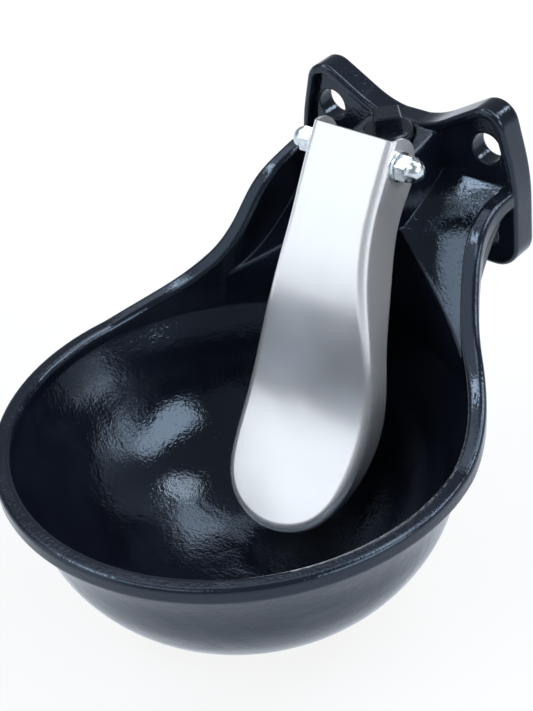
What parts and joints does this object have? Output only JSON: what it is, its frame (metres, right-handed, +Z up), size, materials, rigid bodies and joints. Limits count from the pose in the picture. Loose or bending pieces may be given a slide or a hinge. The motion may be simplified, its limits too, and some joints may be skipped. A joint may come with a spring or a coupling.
{
  "type": "livestock drinking bowl",
  "caption": "Wall-mounted cast iron drinking bowl with a sheet steel paddle that pushes open a water valve; threaded inlet below, blanking plug above.",
  "frame": {"origin": "centre of the four mounting holes, on the rear face of the flange", "axes": "+Z up, +Y out of the rear face into the wall, +X to the right for one who faces the wall; the cup reaches out towards -Y"},
  "size_m": [0.251, 0.291, 0.2245],
  "materials": {
    "enamel": "glossy black enamel over cast iron",
    "paddle_steel": "satin stainless sheet",
    "zinc_steel": "bright zinc plate",
    "stainless": "plain stainless steel",
    "nylon": "natural nylon",
    "plug_black": "black painted malleable iron",
    "brass": "turned brass",
    "gasket_fibre": "red-brown fibre",
    "seat_nylon": "plain nylon",
    "disc_rubber": "black rubber"
  },
  "bodies": {
    "bowl_body": {"bowl_casting": "enamel", "blanking_plug": "plug_black", "valve_body": "brass", "valve_gasket": "gasket_fibre", "valve_seat": "seat_nylon", "valve_spring": "stainless", "spring_retainer": "brass", "retaining_ring": "stainless", "strainer": "stainless"},
    "paddle_body": {"paddle": "paddle_steel", "hinge_pin": "zinc_steel", "hinge_sleeve": "stainless", "hinge_cap_nuts": "zinc_steel", "hinge_washers": "zinc_steel", "hinge_thrust_washers": "nylon"},
    "stem_body": {"valve_stem": "stainless", "valve_disc": "disc_rubber", "disc_holder": "brass", "disc_nut": "brass", "stem_button": "nylon"}
  },
  "joints": [
    {"name": "paddle_hinge", "type": "hinge", "parent": "bowl_body", "child": "paddle_body", "pos_m": [0, -0.053, 0.028], "axis": [1, 0, 0], "range_deg": [0, 5.3]},
    {"name": "stem_slide", "type": "slide", "parent": "bowl_body", "child": "stem_body", "axis": [0, 1, 0], "range_m": [0, 0.004], "stiffness_N_per_m": 1500, "springref_m": -0.003, "deforming": ["valve_spring"]}
  ],
  "couplings": [
    {"joint": "stem_slide", "follows": "paddle_hinge", "m_per_rad": 0.041}
  ]
}
